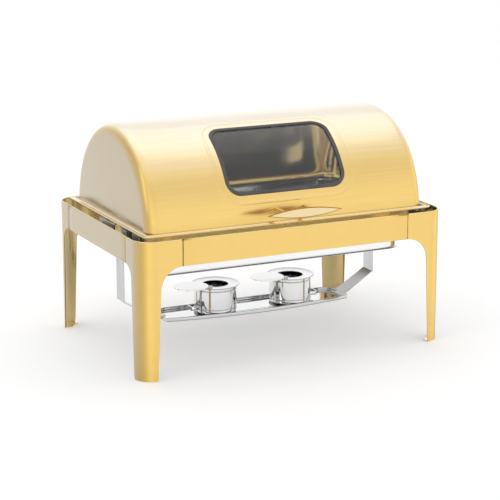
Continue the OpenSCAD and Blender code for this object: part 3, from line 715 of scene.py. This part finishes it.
def leg_piece(node, sx, sy):
    """A leg bent around the stand's corner, whose lower edge follows both arches."""
    seam_x, seam_y = STAND_HALF_X - SEAM_X, STAND_HALF_Y - SEAM_Y

    def stations(seam, arch_r):
        turns = [math.radians(90 * i / 16) for i in range(17)]
        d = [seam - SEAM_GAP] + [LEG_TOP_W + arch_r * (1 - math.sin(t)) for t in turns]
        return [v for v in d if v <= seam - SEAM_GAP] + [LEG_TOP_W - 1.5 * MM]

    columns = []
    for d in stations(seam_x, ARCH_LONG_R):
        columns.append((STAND_HALF_X - d, STAND_HALF_Y, 0, 1, arch_height(d, ARCH_LONG_R)))
    for i in range(33):
        turn = math.radians(90 - 90 * i / 32)
        nx, ny = math.cos(turn), math.sin(turn)
        x = STAND_HALF_X - CORNER_R + CORNER_R * nx
        y = STAND_HALF_Y - CORNER_R + CORNER_R * ny
        low = max(arch_height(STAND_HALF_X - x, ARCH_LONG_R), arch_height(STAND_HALF_Y - y, ARCH_END_R))
        columns.append((x, y, nx, ny, low))
    for d in reversed(stations(seam_y, ARCH_END_R)):
        columns.append((STAND_HALF_X, STAND_HALF_Y - d, 1, 0, arch_height(d, ARCH_END_R)))
    columns = [(sx * x, MID_Y + sy * y, sx * nx, sy * ny, low) for x, y, nx, ny, low in columns]
    skin(node + "_skin", node, columns)


def rail_piece(node, sx, sy):
    steps = 12
    if sy:
        run = [(-SEAM_X + 2 * SEAM_X * i / steps, sy * STAND_HALF_Y) for i in range(steps + 1)]
    else:
        run = [(sx * STAND_HALF_X, -SEAM_Y + 2 * SEAM_Y * i / steps) for i in range(steps + 1)]
    skin(node + "_skin", node, [(x, MID_Y + y, sx, sy, RAIL_LOW) for x, y in run])


# ---------- Pans ----------

PAN_WALL = 1.2 * MM
PAN_CORNER_R = 30 * MM
PAN_FILLET = 2.5 * MM


def pan_piece(node, lap_end, lap_side, edge):
    """A drawn pan: rounded floor, walls, and a flat rim that laps past the ends and sides."""
    low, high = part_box(node)
    rim_x, rim_y = high.x, high.y - MID_Y
    half_x, half_y = rim_x - lap_end, rim_y - lap_side
    rim_low = high.z - PAN_WALL
    inner_edge, round_in = edge - PAN_WALL, PAN_FILLET + PAN_WALL
    outer = arc(-edge, low.z + edge, edge, -90, 0, 8)
    outer += arc(PAN_FILLET, rim_low - PAN_FILLET, PAN_FILLET, 180, 90, 5)
    inner = arc(-edge, low.z + edge, inner_edge, -90, 0, 8)
    inner += arc(PAN_FILLET, high.z - round_in, round_in, 180, 90, 5)
    rim = rounded_rect(rim_x, rim_y, PAN_CORNER_R + lap_side)
    rings = plan_loops(half_x, half_y, PAN_CORNER_R, outer)
    rings += [[Vector((x, MID_Y + y, z)) for x, y in rim] for z in (rim_low, high.z)]
    rings += reversed(plan_loops(half_x, half_y, PAN_CORNER_R, inner))
    verts, faces = capped_loft(rings)
    piece = add_piece(node + "_drawn", verts, faces, node, PAN_STEEL_PAINTED_LIGHT, [node])
    soften(piece, 0.4 * MM)


# ---------- Fuel tray and holders ----------

def grown(points, distance):
    """A closed outline moved outward along its normals."""
    n = len(points)
    out = []
    for i, p in enumerate(points):
        along = (Vector(points[(i + 1) % n]) - Vector(points[i - 1])).normalized()
        out.append((p[0] + along.y * distance, p[1] - along.x * distance))
    return out


TRAY_BOW_R = 1.0


def tray_piece():
    """Tray with a rolled rim, whose front edge bows out between its rounded ends."""
    low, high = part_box("fuel_tray")
    half_x, half_y = high.x, (high.y - low.y) / 2
    mid = (high.y + low.y) / 2
    centre_y = TRAY_BOW_R - half_y
    outline = []
    for x, y in rounded_rect(half_x, half_y, half_y * 2 / 3, 14, 16):
        reach = math.hypot(x, y - centre_y)
        k = min(1, TRAY_BOW_R / reach)
        outline.append((x * k, centre_y + (y - centre_y) * k))
    wall, bead = 2 * MM, 1.5 * MM
    top = high.z - bead
    profile = [(-6 * MM, low.z), (-2.5 * MM, low.z), (-0.8 * MM, low.z + 0.7 * MM)]
    profile += [(0, low.z + 2.5 * MM), (0, top)]
    profile += arc(-bead, top, bead, 20, 200, 8)
    profile += [(-wall, top - 1.2 * MM), (-wall, low.z + wall + 1.6 * MM),
                (-wall - 0.6 * MM, low.z + wall + 0.5 * MM), (-wall - 2 * MM, low.z + wall),
                (-8 * MM, low.z + wall)]
    rings = [[Vector((x, mid + y, z)) for x, y in grown(outline, o)] for o, z in profile]
    verts, faces = capped_loft(rings)
    piece = add_piece("tray_pressed", verts, faces, "stand", MIRROR, ["fuel_tray"])
    weigh_normals(piece)


def turned(name, profile, centre, body, replaced):
    """A turned sheet part with a closed section of (radius, height)."""
    verts, faces = loft(lathe(profile, centre), wrap=True)
    piece = add_piece(name, verts, faces, body, MIRROR, [replaced])
    weigh_normals(piece)


HOLDER_T = 1 * MM
CUP_EDGE_R = 5 * MM
AXIS_HOLE = 0.05 * MM


def cup_piece(side):
    """Cup of a fuel holder, with a raised base and two beads around its wall."""
    node = "burner_cup_" + side
    low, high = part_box(node)
    centre = ((low.x + high.x) / 2, (low.y + high.y) / 2)
    r = (high.x - low.x) / 2
    z0, z1 = low.z, high.z
    outer = [(AXIS_HOLE, z0 + 1.5 * MM), (r - 12 * MM, z0 + 1.5 * MM), (r - 10 * MM, z0)]
    outer += arc(r - CUP_EDGE_R, z0 + CUP_EDGE_R, CUP_EDGE_R, -90, 0, 6)
    for bead_z in (z0 + 9 * MM, z1 - 7 * MM):
        outer += [(r - 0.9 * MM * math.sin(math.pi * k / 6), bead_z + 2.4 * MM * k / 6) for k in range(7)]
    outer += [(r, z1 - 1.2 * MM), (r, z1)]
    inner = [(r - HOLDER_T, z1), (r - HOLDER_T, z0 + CUP_EDGE_R + HOLDER_T)]
    inner += arc(r - CUP_EDGE_R, z0 + CUP_EDGE_R, CUP_EDGE_R - HOLDER_T, 0, -90, 5)
    inner += [(r - 9.5 * MM, z0 + HOLDER_T), (r - 11.5 * MM, z0 + 2.5 * MM), (AXIS_HOLE, z0 + 2.5 * MM)]
    turned("cup_drawn_" + side, outer + inner, centre, "burner_" + side, node)


def holder_top_piece(side):
    """Dished top of a fuel holder, with its flame hole and a rolled lip."""
    node = "burner_top_" + side
    low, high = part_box("burner_cup_" + side)
    centre = ((low.x + high.x) / 2, (low.y + high.y) / 2)
    cup_r = (high.x - low.x) / 2
    low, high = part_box(node)
    lip, lip_r = (high.x - low.x) / 2, 0.9 * MM
    z0, z1 = low.z, high.z
    section = [(FLAME_R, z0 + 0.3 * MM), (FLAME_R + 0.4 * MM, z0), (cup_r + 1 * MM, z0)]
    section += [(lip - 1.2 * MM, z1 - 1.6 * MM)]
    section += arc(lip - lip_r, z1 - lip_r, lip_r, -50, 150, 7)
    upper = z0 + HOLDER_T
    section += [(cup_r + 0.5 * MM, upper + 0.1 * MM), (FLAME_R + 4 * MM, upper)]
    section += [(FLAME_R + 1.5 * MM, upper + 0.5 * MM), (FLAME_R + 0.5 * MM, upper + 0.4 * MM)]
    section += [(FLAME_R, upper)]
    turned("top_pressed_" + side, section, centre, "burner_" + side, node)


# ---------- Studio ----------

def area_light(name, at, target, size, power):
    data = bpy.data.lights.new(name, "AREA")
    data.shape = "RECTANGLE"
    data.size, data.size_y = size
    data.energy = power
    lamp = bpy.data.objects.new(name, data)
    bpy.context.scene.collection.objects.link(lamp)
    lamp.location = at
    lamp.rotation_euler = (Vector(target) - Vector(at)).to_track_quat("-Z", "Y").to_euler()


FLOOR_HALF = 14.0
FLOOR_GLOW = 0.15
SKY_STRENGTH = 1.08


def build_floor():
    mesh = bpy.data.meshes.new("floor")
    corners = [(x * FLOOR_HALF, y * FLOOR_HALF, 0) for x, y in ((-1, -1), (1, -1), (1, 1), (-1, 1))]
    mesh.from_pydata(corners, [], [(0, 1, 2, 3)])
    floor = bpy.data.objects.new("floor", mesh)
    bpy.context.scene.collection.objects.link(floor)
    material, tree, shader = node_material("floor_paper")
    shader.inputs["Roughness"].default_value = 0.9
    tree.links.new(two_tone(tree, noise(tree, 2), grey(0.86), grey(0.88)), shader.inputs["Base Color"])
    shader.inputs["Emission Color"].default_value = (1, 1, 1, 1)
    shader.inputs["Emission Strength"].default_value = FLOOR_GLOW
    mesh.materials.append(material)


def build_sky():
    """A white room, a little darker just above the horizon."""
    world = bpy.data.worlds.new("studio")
    bpy.context.scene.world = world
    world.use_nodes = True
    tree = world.node_tree
    sky = tree.nodes["Background"]
    place = tree.nodes.new("ShaderNodeTexCoord")
    parts = tree.nodes.new("ShaderNodeSeparateXYZ")
    ramp = tree.nodes.new("ShaderNodeValToRGB")
    ramp.color_ramp.interpolation = "B_SPLINE"
    for i, (at, level) in enumerate(((0.0, 1.0), (0.30, 1.0), (0.62, 0.80), (0.80, 0.92), (1.0, 1.0))):
        spot = ramp.color_ramp.elements[i] if i < 2 else ramp.color_ramp.elements.new(at)
        spot.position = at
        spot.color = (level, level, level, 1)
    tree.links.new(place.outputs["Generated"], parts.inputs["Vector"])
    tree.links.new(parts.outputs["Z"], ramp.inputs["Fac"])
    tree.links.new(ramp.outputs["Color"], sky.inputs["Color"])
    sky.inputs["Strength"].default_value = SKY_STRENGTH


def build_lights():
    area_light("top_softbox", (0.3, 0.9, 2.6), (0, 0, 0.3), (3.6, 2.4), 5)
    area_light("left_softbox", (-2.6, -0.6, 1.5), (0, 0, 0.25), (0.9, 1.8), 2.5)


LENS = 125.8
SENSOR = 36
CAMERA_AT = Vector((-1.46388, MID_Y - 3.01240, 1.00333))
CAMERA_AZIMUTH = math.radians(25.988)
CAMERA_DOWN = math.radians(14.005)


def build_camera():
    data = bpy.data.cameras.new("camera")
    data.sensor_width = SENSOR
    data.lens = LENS
    view = bpy.data.objects.new("camera", data)
    bpy.context.scene.collection.objects.link(view)
    view.location = CAMERA_AT
    view.rotation_euler = (math.pi / 2 - CAMERA_DOWN, 0, -CAMERA_AZIMUTH)
    bpy.context.scene.camera = view


dress_cad_nodes()
barrel_piece()
flange_piece()
gasket_piece()
glass_piece()
handle_piece()
rivet_piece()
for leg, sx, sy in (("leg_front_left", -1, -1), ("leg_front_right", 1, -1),
                    ("leg_rear_left", -1, 1), ("leg_rear_right", 1, 1)):
    leg_piece(leg, sx, sy)
for rail, sx, sy in (("rail_front", 0, -1), ("rail_rear", 0, 1), ("rail_left", -1, 0), ("rail_right", 1, 0)):
    rail_piece(rail, sx, sy)
pan_piece("water_pan", lap_end=12 * MM, lap_side=7.7 * MM, edge=9 * MM)
pan_piece("food_pan", lap_end=14 * MM, lap_side=14 * MM, edge=12 * MM)
tray_piece()
for side in ("left", "right"):
    cup_piece(side)
    holder_top_piece(side)
build_floor()
build_sky()
build_lights()
build_camera()
bpy.context.scene.view_settings.view_transform = "Standard"
